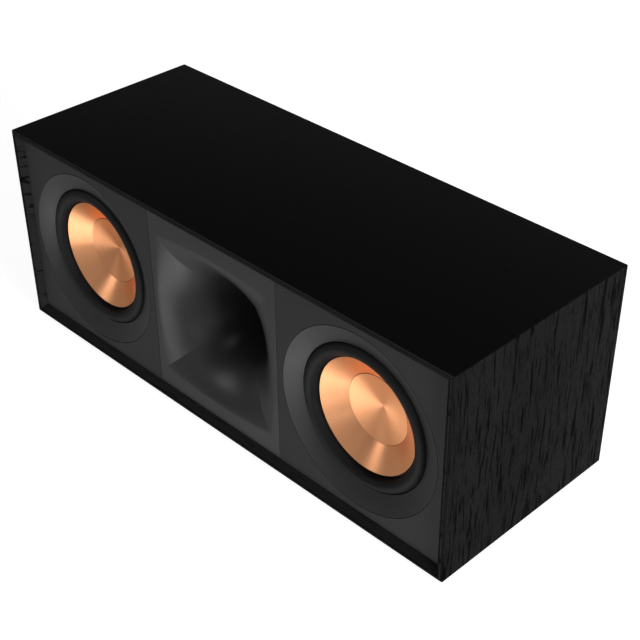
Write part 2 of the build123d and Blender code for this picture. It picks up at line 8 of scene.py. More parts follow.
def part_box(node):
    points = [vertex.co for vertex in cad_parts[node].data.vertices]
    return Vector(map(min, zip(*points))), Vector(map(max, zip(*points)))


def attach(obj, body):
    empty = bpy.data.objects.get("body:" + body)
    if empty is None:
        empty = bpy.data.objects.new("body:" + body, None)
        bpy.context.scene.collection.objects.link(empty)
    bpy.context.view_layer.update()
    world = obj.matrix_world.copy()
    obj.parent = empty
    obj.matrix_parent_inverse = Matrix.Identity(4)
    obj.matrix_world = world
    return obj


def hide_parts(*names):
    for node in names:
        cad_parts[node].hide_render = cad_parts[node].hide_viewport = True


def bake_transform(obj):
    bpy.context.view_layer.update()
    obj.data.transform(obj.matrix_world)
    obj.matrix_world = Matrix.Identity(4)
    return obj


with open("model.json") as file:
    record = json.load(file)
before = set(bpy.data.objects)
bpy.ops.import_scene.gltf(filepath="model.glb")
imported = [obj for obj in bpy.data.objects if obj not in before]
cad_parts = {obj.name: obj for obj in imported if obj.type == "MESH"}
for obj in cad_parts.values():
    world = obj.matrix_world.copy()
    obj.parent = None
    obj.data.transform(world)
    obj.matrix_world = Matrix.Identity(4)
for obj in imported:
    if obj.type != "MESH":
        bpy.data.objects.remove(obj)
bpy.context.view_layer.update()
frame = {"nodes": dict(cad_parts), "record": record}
nodes = frame["nodes"]

# Metres. +X right, +Y to the back, +Z up, as in the frame. Sizes below are in millimetres times mm.
mm = 0.001
x_axis = 0
z_axis = 2

# Camera, from a fit of the photograph's corners, rings and seams: degrees, pixels, and a sensor in mm
camera_place = Vector((643.6, -600.9, 667.4)) * mm
camera_azimuth = 44.85
camera_elevation = 35.69
photo_width = 640
focal_pixels = 1347.4
principal_x = 337.8
principal_y = 347.1
sensor_width = 36.0

# Places read from the frame
cabinet_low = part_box("left_panel")[0]
cabinet_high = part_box("right_panel")[1]
baffle_low, baffle_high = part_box("front_baffle")
rear_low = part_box("rear_panel")[0]
horn_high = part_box("horn_panel")[1]
front_y = cabinet_low.y
rear_y = cabinet_high.y
baffle_y = baffle_low.y
baffle_back_y = baffle_high.y
center_z = (cabinet_low.z + cabinet_high.z) / 2
ring_low, ring_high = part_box("woofer_trim_ring_right")
woofer_x = (ring_low.x + ring_high.x) / 2
ring_outer = (ring_high.z - ring_low.z) / 2
seat_y = ring_high.y

# Cabinet wrap
wall = 15.0 * mm
edge_chamfer = 1.2 * mm
lip_flat = 2.4 * mm
panel_gap = 0.15 * mm
lip = baffle_low.x - cabinet_low.x - panel_gap
rear_lip = rear_low.x - cabinet_low.x - panel_gap
rear_inside_y = rear_low.y
corner_round = 0.8 * mm
edge_round = 0.5 * mm
wrap_end = 1.2 * mm

# Shares of the chamfer, from its outer side, at which the corner finish (a painted highlight on the top and
# bottom walls) begins and ends and the painted shade line ends
corner_from = 1 / 6
corner_to = 0.8
shade_line_to = 1.2

# Places in a wall's list of materials, after its outer face
edge_index = 1
shade_line_index = 2
corner_index = 3

# Seams, seats and small edges
seam_round = 0.2 * mm
panel_seam = 0.2 * mm
horn_flange = 4.0 * mm
horn_ledge = 5.6 * mm
ring_seat_gap = 0.35 * mm
basket_bore = 61.0 * mm

# Horn
horn_land = 4.0 * mm
horn_mouth = horn_high.x - horn_land
horn_throat = 12.7 * mm
horn_round_half = 34.3 * mm
horn_stretch_ratio = 1.1
mouth_roundness_share = 0.215
horn_wall = 3.0 * mm
horn_base_radius = 38.0 * mm
horn_base = 6.0 * mm
horn_cutout = 2 * (horn_mouth - horn_ledge)
horn_back_gap = 0.5 * mm
horn_rings = 90
horn_ring_power = 1.4
horn_side_points = 28
horn_crease = 9.0

# Woofers and tweeter suspension: radii, sheets, and depths behind the baffle face
ring_inner = 58.3 * mm
ring_slope = 6.1 * mm
ring_edge = 1.3 * mm
ring_skirt = 2.0 * mm
ring_round = 0.5 * mm
surround_outer = 62.8 * mm
roll_outer = 58.2 * mm
roll_inner = 47.6 * mm
roll_height = 4.7 * mm
roll_sheet = 0.9 * mm
roll_depth = 7.9 * mm
flange_depth = 8.9 * mm
cone_radius = 45.6 * mm
cone_lip = 2.2 * mm
cone_front = 9.4 * mm
cone_sheet = 0.55 * mm
cone_slope = 0.76
cone_turn = 0.1 * mm
cone_round = 0.15 * mm
cone_back_ratio = 1.25
neck_radius = 13.0 * mm
collar_length = 2.4 * mm
cap_radius = 27.8 * mm
cap_depth = 6.2 * mm
cap_sheet = 0.4 * mm
cap_edge = 0.3 * mm
cap_edge_drop = 0.06 * mm
glue_gap = 0.05 * mm
# Width of the painted shade line on the copper at the cap's joint.
joint_shade_width = 0.5 * mm
former_outer = 12.95 * mm
spider_sheet = 0.6 * mm
spider_wave = 0.9 * mm
spider_waves = 5
spider_flat = 2.4 * mm
spider_overlap = 5.0 * mm
dome_rim = 12.5 * mm
film_sheet = 0.35 * mm
film_rise = 0.8 * mm
film_cup = 0.55 * mm

# Rear fittings
port_bore = 24.0 * mm
port_flare = 12.0 * mm
port_wall = 2.5 * mm
port_neck = 8.0 * mm
rear_flange = 3.0 * mm
rim_round = 0.8 * mm
cup_corner = 6.0 * mm
bowl_x = 40.0 * mm
bowl_z = 26.0 * mm
bowl_corner = 8.0 * mm
cup_wall = 2.5 * mm
cup_depth = 28.0 * mm
bowl_round = 2.0 * mm
cup_screw_inset = 7.0 * mm
cup_screw_head = 3.2 * mm
cup_screw_taper = 2.0 * mm
cup_screw_shank = 1.6 * mm
cup_screw_length = 11.0 * mm
cross_width = 0.8 * mm
cross_reach = 1.9 * mm
cross_depth = 1.1 * mm
sink_gap = 0.15 * mm
knob_flutes = 12
flute_radius = 0.7 * mm
knob_steps = 14
flute_steps = 6
knob_hole = 3.3 * mm
insert_length = 12.1 * mm
insert_radius = 4.7 * mm

# Meshes: fineness, angles in degrees above which edges stay crisp, merging, and overshoot of cutters
lathe_segments = 192
wide_segments = 256
inner_segments = 96
screw_segments = 32
edge_steps = 4
corner_steps = 8
turn_steps = 6
roll_steps = 26
film_steps = 12
flare_steps = 20
wave_steps = 16
sharp_edge = 32.0
knob_edge = 40.0
roll_edge = 50.0
cloth_edge = 60.0
merge_distance = 1e-7
overshoot = 1.0 * mm


# Mesh helpers
def make_object(name, verts, faces, sharp_angle=sharp_edge):
    """A smooth-shaded mesh object whose edges sharper than sharp_angle stay crisp."""
    mesh = bpy.data.meshes.new(name)
    mesh.from_pydata([tuple(v) for v in verts], [], faces)
    work = bmesh.new()
    work.from_mesh(mesh)
    bmesh.ops.remove_doubles(work, verts=work.verts, dist=merge_distance)
    bmesh.ops.dissolve_degenerate(work, edges=work.edges, dist=merge_distance)
    bmesh.ops.recalc_face_normals(work, faces=work.faces)
    work.to_mesh(mesh)
    work.free()
    mesh.shade_smooth()
    mesh.set_sharp_from_angle(angle=math.radians(sharp_angle))
    obj = bpy.data.objects.new(name, mesh)
    bpy.context.scene.collection.objects.link(obj)
    return obj


def rounded(points, radii, steps=5):
    """A closed outline with round corners: each corner gets the radius at the same place in radii."""
    result = []
    count = len(points)
    for i, radius in enumerate(radii):
        here = Vector(points[i])
        if not radius:
            result.append(here)
            continue
        before = (Vector(points[i - 1]) - here).normalized()
        after = (Vector(points[(i + 1) % count]) - here).normalized()
        half = before.angle(after) / 2
        reach = radius / math.tan(half)
        middle = here + (before + after).normalized() * (radius / math.sin(half))
        start = here + before * reach - middle
        end = here + after * reach - middle
        for k in range(steps + 1):
            spin = start.lerp(end, k / steps).normalized() * radius
            result.append(middle + spin)
    return result


def skin(name, rings, sharp_angle=sharp_edge, capped=False):
    """A skin through rings of equally many points, which meets its own start or has a cap at both ends."""
    count = len(rings[0])
    verts = [point for ring in rings for point in ring]
    faces = []
    for i in range(len(rings) - 1 if capped else len(rings)):
        j = (i + 1) % len(rings)
        for k in range(count):
            n = (k + 1) % count
            faces.append((i * count + k, i * count + n, j * count + n, j * count + k))
    if capped:
        faces.append(tuple(range(count)))
        faces.append(tuple(range(len(verts) - count, len(verts))))
    return make_object(name, verts, faces, sharp_angle)


def lathe(name, outline, x=0.0, z=center_z, segments=lathe_segments, sharp_angle=sharp_edge):
    """Turns a closed outline of (radius, y) points about the line through x, z along Y."""
    angles = [2 * math.pi * k / segments for k in range(segments)]
    rings = [[(x + r * math.cos(a), y, z + r * math.sin(a)) for a in angles] for r, y in outline]
    return skin(name, rings, sharp_angle)


def cut(target, cutter):
    """Takes the cutter's volume out of the target, then deletes the cutter."""
    modifier = target.modifiers.new("cut", "BOOLEAN")
    modifier.operation = "DIFFERENCE"
    modifier.solver = "EXACT"
    modifier.object = cutter
    bpy.context.view_layer.update()
    graph = bpy.context.evaluated_depsgraph_get()
    mesh = bpy.data.meshes.new_from_object(target.evaluated_get(graph))
    target.modifiers.clear()
    target.data = mesh
    bpy.data.objects.remove(cutter)
    mesh.shade_smooth()
    mesh.set_sharp_from_angle(angle=math.radians(sharp_edge))


def box_object(name, low, high):
    """A box between two opposite corners."""
    corners = [(x, y, z) for x in (low[0], high[0]) for y in (low[1], high[1]) for z in (low[2], high[2])]
    faces = [(0, 1, 3, 2), (4, 6, 7, 5), (0, 4, 5, 1), (2, 3, 7, 6), (0, 2, 6, 4), (1, 5, 7, 3)]
    return make_object(name, corners, faces)


# Finishes: tones, then the vinyl: drift, noise scales along and across its pores, ticks on X, Y and Z
side_tone = (0.0070, 0.0070, 0.0071)
rear_tone = (0.0088, 0.0088, 0.0089)
# The top and bottom walls wear the same vinyl as the sides, drawn darker here: painted shade.
top_shaded_tone = (0.0046, 0.0046, 0.0047)
edge_tone = (0.015, 0.015, 0.0152)
rubber_tone = (0.010, 0.010, 0.0105)
rubber_dark = (0.0085, 0.0085, 0.009)
rubber_light = (0.012, 0.012, 0.0125)
copper_tone = (0.74, 0.34, 0.165)
copper_dark = (0.69, 0.312, 0.150)
copper_light = (0.79, 0.368, 0.181)
copper_sheen = (1.0, 0.72, 0.52)
# A dark ring on the copper at the cap's joint: painted shade.
joint_shade_tone = (0.36, 0.155, 0.08)
grain_drift_scale = 14.0
grain_drift = 0.008
pore_scales = (26.0, 470.0)
fleck_scales = (240.0, 1300.0)
band_scales = (5.0, 60.0)
tick_scales = (50.0, 50.0, 250.0)
vinyl_roughness = 0.52
pore_roughness = 0.28
vinyl_bump = 0.08 * mm


class Nodes:
    """A node tree with short ways to add to it."""

    def __init__(self, tree):
        self.tree = tree

    def node(self, kind, **values):
        made = self.tree.nodes.new(kind)
        for key, value in values.items():
            setattr(made, key, value)
        return made

    def link(self, source, target):
        self.tree.links.new(source, target)

    def math(self, operation, a, b):
        made = self.node("ShaderNodeMath", operation=operation)
        for socket, value in zip(made.inputs, (a, b)):
            if isinstance(value, (int, float)):
                socket.default_value = value
            else:
                self.link(value, socket)
        return made.outputs["Value"]

    def pick(self, factor, first, second):
        """The first shader where factor is 0, the second where it is 1."""
        made = self.node("ShaderNodeMixShader")
        self.link(factor, made.inputs["Fac"])
        self.link(first, made.inputs[1])
        self.link(second, made.inputs[2])
        return made.outputs["Shader"]


class Paint(Nodes):
    """A material with its nodes at hand."""

    def __init__(self, name, color, roughness, metallic=0.0, specular=0.5):
        self.material = bpy.data.materials.new(name)
        self.material.use_nodes = True
        super().__init__(self.material.node_tree)
        self.shader = self.tree.nodes["Principled BSDF"]
        self.set("Base Color", (*color, 1.0))
        self.set("Roughness", roughness)
        self.set("Metallic", metallic)
        self.set("Specular IOR Level", specular)
        self.place = self.node("ShaderNodeTexCoord").outputs["Object"]

    def set(self, socket, value):
        self.shader.inputs[socket].default_value = value

    def feed(self, source, socket):
        self.link(source, self.shader.inputs[socket])

    def stretched(self, source, scale):
        mapping = self.node("ShaderNodeMapping")
        mapping.inputs["Scale"].default_value = scale
        self.link(source, mapping.inputs["Vector"])
        return mapping.outputs["Vector"]

    def noise(self, source, scale, detail=3.0, roughness=0.55):
        made = self.node("ShaderNodeTexNoise")
        made.inputs["Scale"].default_value = scale
        made.inputs["Detail"].default_value = detail
        made.inputs["Roughness"].default_value = roughness
        self.link(source, made.inputs["Vector"])
        return made.outputs["Fac"]

    def ramp(self, source, stops):
        """A grey ramp between two stops of (position, level)."""
        made = self.node("ShaderNodeValToRGB")
        for element, (position, level) in zip(made.color_ramp.elements, stops):
            element.position = position
            element.color = (level, level, level, 1.0)
        self.link(source, made.inputs["Fac"])
        return made.outputs["Color"]

    def mix(self, factor, a, b):
        made = self.node("ShaderNodeMix", data_type="RGBA")
        self.link(factor, made.inputs["Factor"])
        for socket, value in ((made.inputs[6], a), (made.inputs[7], b)):
            if isinstance(value, tuple):
                socket.default_value = (*value, 1.0)
            else:
                self.link(value, socket)
        return made.outputs[2]

    def bump(self, height, distance, strength):
        made = self.node("ShaderNodeBump")
        made.inputs["Distance"].default_value = distance
        made.inputs["Strength"].default_value = strength
        self.link(height, made.inputs["Height"])
        self.feed(made.outputs["Normal"], "Normal")


def ash_vinyl(name, along, tone, depth):
    """Black wood-grain vinyl. Pores run along the axis numbered along, and depth is how much they show."""
    paint = Paint(name, tone, 0.6, specular=0.03)
    drift = paint.node("ShaderNodeTexNoise")
    drift.inputs["Scale"].default_value = grain_drift_scale
    paint.link(paint.place, drift.inputs["Vector"])
    sway = paint.node("ShaderNodeVectorMath", operation="SCALE")
    sway.inputs["Scale"].default_value = grain_drift
    paint.link(drift.outputs["Color"], sway.inputs[0])
    moved = paint.node("ShaderNodeVectorMath", operation="ADD")
    paint.link(paint.place, moved.inputs[0])
    paint.link(sway.outputs["Vector"], moved.inputs[1])
    grain = moved.outputs["Vector"]

    def streaks(scales, roughness=0.6):
        """Noise drawn out along the grain."""
        scale = [scales[1]] * 3
        scale[along] = scales[0]
        return paint.noise(paint.stretched(grain, scale), scale=1.0, detail=2.0, roughness=roughness)

    pore_mask = paint.ramp(streaks(pore_scales), ((0.39, 0.0), (0.47, 1.0)))
    fleck_mask = paint.ramp(streaks(fleck_scales), ((0.34, 0.3), (0.5, 1.0)))
    bands = paint.ramp(streaks(band_scales, 0.55), ((0.35, 0.82), (0.65, 1.0)))
    mask = paint.math("MULTIPLY", paint.math("MULTIPLY", pore_mask, fleck_mask), bands)
    pore_tone = tuple(c * (1 - depth) for c in tone)
    paint.feed(paint.mix(mask, pore_tone, tone), "Base Color")
    rough = vinyl_roughness + pore_roughness * depth
    paint.feed(paint.ramp(mask, ((0.0, rough), (1.0, vinyl_roughness))), "Roughness")
    paint.bump(mask, vinyl_bump, strength=0.6 * depth)
    return paint.material


def edge_vinyl(name):
    """The wrap on an upright front edge, where the grain is cut to short dark ticks across it."""
    paint = Paint(name, edge_tone, 0.6, specular=0.04)
    ticks = paint.noise(paint.stretched(paint.place, tick_scales), scale=1.0, detail=2.5, roughness=0.6)
    tick_mask = paint.ramp(ticks, ((0.36, 0.0), (0.44, 1.0)))
    flecks = paint.noise(paint.place, scale=700.0, detail=3.0, roughness=0.6)
    fleck_mask = paint.ramp(flecks, ((0.3, 0.6), (0.55, 1.0)))
    mask = paint.math("MULTIPLY", tick_mask, fleck_mask)
    paint.feed(paint.mix(mask, tuple(0.15 * c for c in edge_tone), edge_tone), "Base Color")
    paint.feed(paint.ramp(mask, ((0.0, 0.8), (1.0, 0.55))), "Roughness")
    paint.bump(mask, vinyl_bump, strength=0.5)
    return paint.material


def satin_black(name, tone, roughness, specular):
    """Fine-textured satin black, painted or moulded."""
    paint = Paint(name, tone, roughness, specular=specular)
    cloud = paint.noise(paint.place, scale=35.0, detail=2.0)
    dark = tuple(0.93 * c for c in tone)
    light = tuple(1.06 * c for c in tone)
    paint.feed(paint.mix(cloud, dark, light), "Base Color")
    grit = paint.noise(paint.place, scale=2600.0, detail=2.0)
    paint.feed(paint.ramp(cloud, ((0.3, roughness - 0.03), (0.7, roughness + 0.03))), "Roughness")
    paint.bump(grit, distance=0.02 * mm, strength=0.35)
    return paint.material


def soft_rubber(name):
    """Dull black rubber."""
    paint = Paint(name, rubber_tone, 0.5, specular=0.08)
    cloud = paint.noise(paint.place, scale=90.0, detail=2.0)
    paint.feed(paint.mix(cloud, rubber_dark, rubber_light), "Base Color")
    paint.feed(paint.ramp(cloud, ((0.3, 0.45), (0.7, 0.55))), "Roughness")
    paint.bump(paint.noise(paint.place, scale=1800.0, detail=2.0), distance=0.015 * mm, strength=0.3)
    return paint.material


def spun_copper(name, x):
    """Copper-coloured metal with fine turning lines about the woofer's axis and a painted shade line at the
    cap's joint.
    """
    paint = Paint(name, copper_tone, 0.3, metallic=1.0)
    paint.set("Specular Tint", (*copper_sheen, 1.0))
    paint.set("Anisotropic", 0.82)
    paint.set("Anisotropic Rotation", 0.25)
    tangent = paint.node("ShaderNodeTangent", direction_type="RADIAL", axis="Y")
    paint.feed(tangent.outputs["Tangent"], "Tangent")
    offset = paint.node("ShaderNodeVectorMath", operation="MULTIPLY_ADD")
    offset.inputs[1].default_value = (1.0, 0.0, 1.0)
    offset.inputs[2].default_value = (-x, 0.0, -center_z)
    paint.link(paint.place, offset.inputs[0])
    radius = paint.node("ShaderNodeVectorMath", operation="LENGTH")
    paint.link(offset.outputs["Vector"], radius.inputs[0])
    line = paint.node("ShaderNodeCombineXYZ")
    paint.link(radius.outputs["Value"], line.inputs["X"])
    fine = paint.noise(line.outputs["Vector"], scale=5200.0, detail=3.0, roughness=0.7)
    broad = paint.noise(line.outputs["Vector"], scale=900.0, detail=2.0)
    tone = paint.mix(fine, copper_dark, copper_light)
    # A painted shade line on the copper, along the cap's joint.
    off_seam = paint.math("ABSOLUTE", paint.math("SUBTRACT", radius.outputs["Value"], cap_radius), 0.0)
    painted_joint = paint.math("LESS_THAN", off_seam, joint_shade_width / 2)
    paint.feed(paint.mix(painted_joint, tone, joint_shade_tone), "Base Color")
    paint.feed(paint.ramp(broad, ((0.3, 0.35), (0.7, 0.41))), "Roughness")
    paint.bump(fine, distance=0.006 * mm, strength=0.25)
    return paint.material


def speckled(name, tone, spread, scale, roughness, metallic=0.0, bump=0.01 * mm):
    """A plain finish with a fine speckle, for small and inner pieces."""
    paint = Paint(name, tone, roughness, metallic)
    grain = paint.noise(paint.place, scale)
    dark = tuple(max(0.0, c * (1 - spread)) for c in tone)
    light = tuple(min(1.0, c * (1 + spread)) for c in tone)
    paint.feed(paint.mix(grain, dark, light), "Base Color")
    paint.feed(paint.ramp(grain, ((0.3, roughness * 0.9), (0.7, min(1.0, roughness * 1.1)))), "Roughness")
    paint.bump(grain, bump, strength=0.3)
    return paint.material


# Top and bottom walls: the vinyl with its tone darkened as painted shade.
ash_across = ash_vinyl("ash_across", along=x_axis, tone=top_shaded_tone, depth=0.1)
ash_upright = ash_vinyl("ash_upright", along=z_axis, tone=side_tone, depth=0.85)
ash_rear = ash_vinyl("ash_rear", along=x_axis, tone=rear_tone, depth=0.6)
edge_across = ash_vinyl("edge_across", along=x_axis, tone=edge_tone, depth=0.35)
edge_upright = edge_vinyl("edge_upright")
# Lighter satin on the chamfers of the top and bottom walls: a painted highlight along their front edges.
chamfer_highlight = satin_black("chamfer_highlight", (0.02, 0.02, 0.021), roughness=0.55, specular=0.06)
# Near-black faces where the chamfer meets the lip and at the lip's inner edge: a painted shade line for the
# shadow between lip and baffle.
edge_shade_line = satin_black("edge_shade_line", (0.002, 0.002, 0.002), roughness=0.75, specular=0.02)

# By material slot. After the tone, satin: roughness, specular. Speckled: spread, scale, roughness, metallic
finishes = {
    "black_ash": ash_across,
    "baffle_satin": satin_black("baffle_satin", (0.0265, 0.0265, 0.0275), 0.5, 0.11),
    "horn_moulding": satin_black("horn_moulding", (0.019, 0.019, 0.020), 0.36, 0.25),
    "trim_moulding": satin_black("trim_moulding", (0.0145, 0.0145, 0.0155), 0.40, 0.25),
    "surround_rubber": soft_rubber("surround_rubber"),
    "foot_rubber": speckled("foot_rubber", (0.02, 0.02, 0.02), 0.2, 900.0, 0.7),
    "copper_cone": spun_copper("copper_right", woofer_x),
    "fibreboard": speckled("fibreboard", (0.36, 0.25, 0.15), 0.25, 700.0, 0.85),
    "frame_paint": speckled("frame_paint", (0.02, 0.02, 0.02), 0.2, 1500.0, 0.4),
    "plated_steel": speckled("plated_steel", (0.55, 0.55, 0.52), 0.1, 300.0, 0.3, 1.0),
    "ferrite": speckled("ferrite", (0.05, 0.05, 0.055), 0.3, 1200.0, 0.6),
    "former_film": speckled("former_film", (0.40, 0.18, 0.04), 0.1, 400.0, 0.35),
    "coil_wire": speckled("coil_wire", (0.60, 0.25, 0.10), 0.15, 1800.0, 0.35, 1.0),
    "spider_cloth": speckled("spider_cloth", (0.50, 0.36, 0.14), 0.25, 2500.0, 0.9),
    "tag_board": speckled("tag_board", (0.20, 0.11, 0.05), 0.2, 900.0, 0.6),
    "screw_zinc": speckled("screw_zinc", (0.035, 0.035, 0.036), 0.2, 1500.0, 0.35, 0.6),
    "dome_metal": speckled("dome_metal", (0.70, 0.70, 0.70), 0.06, 800.0, 0.3, 1.0),
    "dome_film": speckled("dome_film", (0.06, 0.055, 0.05), 0.2, 900.0, 0.5),
    "cup_plastic": satin_black("cup_plastic", (0.013, 0.013, 0.013), 0.5, 0.3),
    "post_metal": speckled("post_metal", (0.83, 0.62, 0.27), 0.06, 1500.0, 0.22, 1.0),
    "nut_metal": speckled("nut_metal", (0.62, 0.60, 0.56), 0.08, 1500.0, 0.3, 1.0),
    "knob_red": speckled("knob_red", (0.42, 0.012, 0.012), 0.12, 700.0, 0.28),
    "knob_black": speckled("knob_black", (0.014, 0.014, 0.014), 0.15, 700.0, 0.28),
    "port_plastic": satin_black("port_plastic", (0.013, 0.013, 0.013), 0.48, 0.3),
    "board_green": speckled("board_green", (0.03, 0.13, 0.05), 0.2, 500.0, 0.4),
    "nylon": speckled("nylon", (0.66, 0.65, 0.60), 0.06, 600.0, 0.5),
    "film_wrap": speckled("film_wrap", (0.55, 0.38, 0.04), 0.1, 300.0, 0.25),
    "cement": speckled("cement", (0.68, 0.67, 0.63), 0.12, 1500.0, 0.9),
    "pad_felt": speckled("pad_felt", (0.14, 0.14, 0.135), 0.35, 1800.0, 1.0, bump=0.4 * mm),
}
copper_left = spun_copper("copper_left", -woofer_x)


def paint_node(obj, material):
    """Gives an object one material."""
    obj.data.materials.clear()
    obj.data.materials.append(material)


slots = {row["node"]: row["material_slot"] for row in frame["record"]["subparts"]}
for name, obj in nodes.items():
    paint_node(obj, finishes[slots[name]])
paint_node(nodes["rear_panel"], ash_rear)


def stands_for(obj, body, material, node):
    """The piece takes the place of a CAD node on a body, with its material slot."""
    paint_node(obj, material)
    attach(obj, body)
    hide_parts(node)
    return obj


def bends(obj, node):
    """The piece stretches from the cabinet to a moving body, in the place of a CAD node."""
    paint_node(obj, finishes[slots[node]])
    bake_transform(obj)
    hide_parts(node)


# Cabinet walls, each with half of the rounded corner at both ends
def wall_profile():
    """The wall's outline as (inward, y): outer face, chamfered front edge, bevel, rebates."""
    chamfered = front_y + edge_chamfer
    inner_flat = edge_chamfer + lip_flat
    points = [
        (0, rear_y), (0, chamfered), (edge_chamfer, front_y), (inner_flat, front_y), (lip, baffle_y),
        (lip, baffle_back_y), (wall, baffle_back_y), (wall, rear_inside_y), (rear_lip, rear_inside_y),
        (rear_lip, rear_y),
    ]
    radii = [edge_round, edge_round, edge_round, wrap_end, 0, 0, 0, 0, 0, edge_round / 2]
    return rounded(points, radii, edge_steps)


def wall_piece(name, length, place):
    """One wall, from a function that takes (along, inward, y) to a point."""
    outline = wall_profile()
    angles = [math.radians(45 + 45 * k / edge_steps) for k in range(edge_steps + 1)]
    stations = [(-1, a) for a in angles] + [(1, a) for a in reversed(angles)]
    rings = []
    for side, angle in stations:
        ring = []
        for inward, y in outline:
            along = inward
            deep = inward
            if inward < corner_round:
                along = corner_round - (corner_round - inward) * math.cos(angle)
                deep = corner_round - (corner_round - inward) * math.sin(angle)
            ring.append(place(side * (length / 2 - along), deep, y))
        rings.append(ring)
    return skin(name, rings, capped=True)


width = cabinet_high.x - cabinet_low.x
height = cabinet_high.z - cabinet_low.z
# Piece, CAD node, length, number of the axis it faces, side, and finishes of face, front edge and corner;
# the corner finish of the top and bottom walls is a painted highlight
walls = (
    ("wall_top", "top_panel", width, z_axis, 1, ash_across, edge_across, chamfer_highlight),
    ("wall_bottom", "bottom_panel", width, z_axis, -1, ash_across, edge_across, chamfer_highlight),
    ("wall_left", "left_panel", height, x_axis, -1, ash_upright, edge_upright, ash_upright),
    ("wall_right", "right_panel", height, x_axis, 1, ash_upright, edge_upright, ash_upright),
)


def wall_face(across, side):
    """Where a wall's outer face lies on the axis numbered across, at its high side for 1 and low for -1."""
    return (cabinet_high if side > 0 else cabinet_low)[across]


def wall_place(across, side):
    """Gives the function that takes (along, inward, y) to a point of one wall."""
    face = wall_face(across, side)

    def place(along, inward, y):
        if across == z_axis:
            return along, y, face - side * inward
        return face - side * inward, y, center_z + along

    return place


for piece, node, length, across, side, material, edge, corner in walls:
    made = stands_for(wall_piece(piece, length, wall_place(across, side)), "cabinet", material, node)
    for extra in (edge, edge_shade_line, corner):
        made.data.materials.append(extra)
    for face in made.data.polygons:
        inward = abs(wall_face(across, side) - face.center[across])
        if face.center.y > baffle_y or inward < edge_chamfer * corner_from:
            continue
        # Most of the chamfer takes the corner finish, a painted highlight on the top and bottom walls; the
        # fold behind it and the lip's inner edge take the painted shade line.
        if inward < edge_chamfer * corner_to:
            face.material_index = corner_index
        elif inward < edge_chamfer * shade_line_to or abs(inward - edge_chamfer - lip_flat) < wrap_end / 2:
            face.material_index = shade_line_index
        else:
            face.material_index = edge_index

# Front baffle: a box less the horn's housing and hole, and less woofer holes with softened rims
baffle = box_object("baffle", baffle_low, baffle_high)
housing_half = horn_high.x + panel_seam
before_y = baffle_y - overshoot
behind_y = baffle_back_y + overshoot
cut(baffle, box_object(
    "horn_housing",
    (-housing_half, before_y, baffle_low.z - overshoot),
    (housing_half, baffle_y + horn_flange, baffle_high.z + overshoot),
))
cut(baffle, box_object(
    "horn_hole",
    (-horn_cutout / 2, before_y, center_z - horn_cutout / 2),
    (horn_cutout / 2, behind_y, center_z + horn_cutout / 2),
))
ring_seat = ring_outer + ring_seat_gap
seat_rim = ring_seat + seam_round
for x in (-woofer_x, woofer_x):
    cut(baffle, lathe("woofer_hole", [
        (0, before_y), (seat_rim, before_y), (seat_rim, baffle_y), (ring_seat, baffle_y + seam_round),
        (ring_seat, seat_y), (basket_bore, seat_y), (basket_bore, behind_y), (0, behind_y),
    ], x, segments=wide_segments))
stands_for(baffle, "cabinet", finishes["baffle_satin"], "front_baffle")


# Horn panel: a flat flange that rolls into a square mouth and narrows to a round throat
def flare_depth(half):
    """How far behind the baffle face the flare, a stretched tractrix, has narrowed to a half width."""
    root = math.sqrt(max(0.0, horn_mouth ** 2 - half ** 2))
    return horn_stretch_ratio * (horn_mouth * math.log((horn_mouth + root) / half) - root)


def four_sides(side_point, y):
    """Points round four sides. side_point gives (reach, along) from a side's number and a share, -1 to 1."""
    points = []
    for quarter in range(4):
        spin = quarter * math.pi / 2
        for k in range(horn_side_points):
            u, v = side_point(quarter, 2 * k / horn_side_points - 1)
            across = u * math.cos(spin) - v * math.sin(spin)
            upward = u * math.sin(spin) + v * math.cos(spin)
            points.append((across, y, center_z + upward))
    return points


def horn_ring(half, offset, y):
    """A creased square of four arcs that swells into a circle towards the throat."""
    inward = min(1.0, (horn_mouth - half) / (horn_mouth - horn_round_half))
    roundness = mouth_roundness_share + (1 - mouth_roundness_share) * math.sin(math.pi / 2 * inward)
    side = half + offset
    corner = side * (1 - roundness * (1 - math.sqrt(0.5)))
    rise = side - corner
    bend = (corner ** 2 + rise ** 2) / (2 * rise)
    sweep = math.asin(corner / bend)

    def arc(quarter, share):
        return side - bend + bend * math.cos(sweep * share), bend * math.sin(sweep * share)

    return four_sides(arc, y)


def flange_ring(half_x, half_z, y):
    """A straight-sided rectangle with as many points as a ring of the horn."""
    def straight(quarter, share):
        return (half_x, half_z * share) if quarter % 2 == 0 else (half_z, half_x * share)

    return four_sides(straight, y)


panel_x = horn_high.x - panel_seam
panel_z = horn_high.z - center_z
horn_rows = [flange_ring(panel_x, panel_z, baffle_y + horn_flange)]
for k in range(edge_steps + 1):
    a = math.pi / 2 * k / edge_steps
    inset = seam_round * (1 - math.cos(a))
    sunk = seam_round * (1 - math.sin(a))
    horn_rows.append(flange_ring(panel_x - inset, panel_z - inset, baffle_y + sunk))
narrowing = horn_mouth - horn_throat
horn_halves = [horn_mouth - narrowing * (k / horn_rings) ** horn_ring_power for k in range(horn_rings + 1)]
for half in horn_halves:
    horn_rows.append(horn_ring(half, 0.0, baffle_y + flare_depth(half)))
horn_back_y = baffle_y + flare_depth(horn_throat)
base_offset = horn_base_radius - horn_throat
horn_rows.append(horn_ring(horn_throat, base_offset, horn_back_y))
horn_rows.append(horn_ring(horn_throat, base_offset, horn_back_y - horn_base))
for half in reversed(horn_halves):
    y = baffle_y + flare_depth(half)
    if baffle_y + horn_flange + horn_back_gap < y < horn_back_y - horn_base:
        horn_rows.append(horn_ring(half, horn_wall, y))
hole_half = horn_cutout / 2 - horn_back_gap
horn_rows.append(flange_ring(hole_half, hole_half, baffle_y + horn_flange))
horn = skin("horn", horn_rows, horn_crease)
stands_for(horn, "cabinet", finishes["horn_moulding"], "horn_panel")


# Woofers
def cone_face(radius):
    """The solid cone's front face, flat at its lip and sloping inside it."""
    return baffle_y + cone_front + max(0.0, cone_radius - cone_lip - radius) * cone_slope


